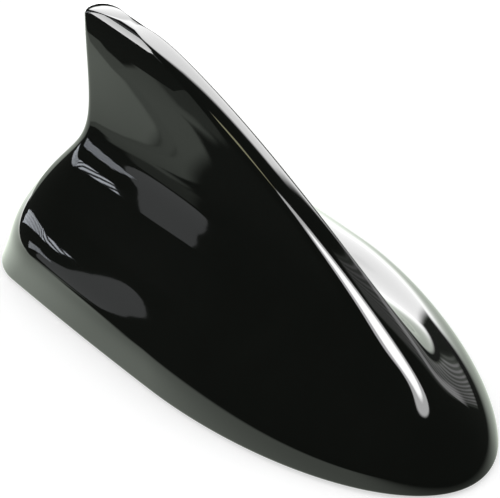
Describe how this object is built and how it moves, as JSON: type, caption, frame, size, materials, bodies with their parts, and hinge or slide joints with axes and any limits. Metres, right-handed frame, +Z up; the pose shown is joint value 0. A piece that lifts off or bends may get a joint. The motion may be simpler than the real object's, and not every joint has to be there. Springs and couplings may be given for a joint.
{
  "type": "shark fin aerial",
  "caption": "Car roof aerial in a glossy shark fin cover on a flat taped base, with an amplifier board, a wire coil and an upright radiator plate inside.",
  "frame": {"origin": "centre of the bounding box's bottom, on the roof surface that the tape sticks to", "axes": "+X towards the nose, +Z up away from the roof, +Y to the left of the direction of travel"},
  "size_m": [0.165, 0.072, 0.0708],
  "materials": {
    "cover_plastic": "gloss black moulding",
    "base_plastic": "satin black moulding",
    "tape_foam": "matt foam",
    "seal_rubber": "matt closed-cell foam rubber",
    "grommet_rubber": "matt rubber",
    "screw_steel": "bright zinc",
    "board_laminate": "green solder mask",
    "tinplate": "satin tinplate",
    "chip_plastic": "matt black",
    "ceramic": "satin ceramic",
    "resistor_glaze": "satin black glaze",
    "wound_copper": "enamelled copper",
    "brass": "bright brass",
    "post_plastic": "satin natural nylon",
    "copper_wire": "bright copper"
  },
  "bodies": {
    "root": {"fin_cover": "cover_plastic", "base_plate": "base_plastic", "foam_tape": "tape_foam", "pocket_seal": "seal_rubber", "lead_grommet": "grommet_rubber", "cover_screws": "screw_steel", "circuit_board": "board_laminate", "board_screws": "screw_steel", "shield_can": "tinplate", "amplifier_chip": "chip_plastic", "chip_capacitors": "ceramic", "chip_resistors": "resistor_glaze", "matching_coils": "wound_copper", "lead_connector": "brass", "coil_post": "post_plastic", "aerial_coil": "copper_wire", "radiator_plate": "tinplate", "plate_holder": "base_plastic"}
  },
  "joints": []
}
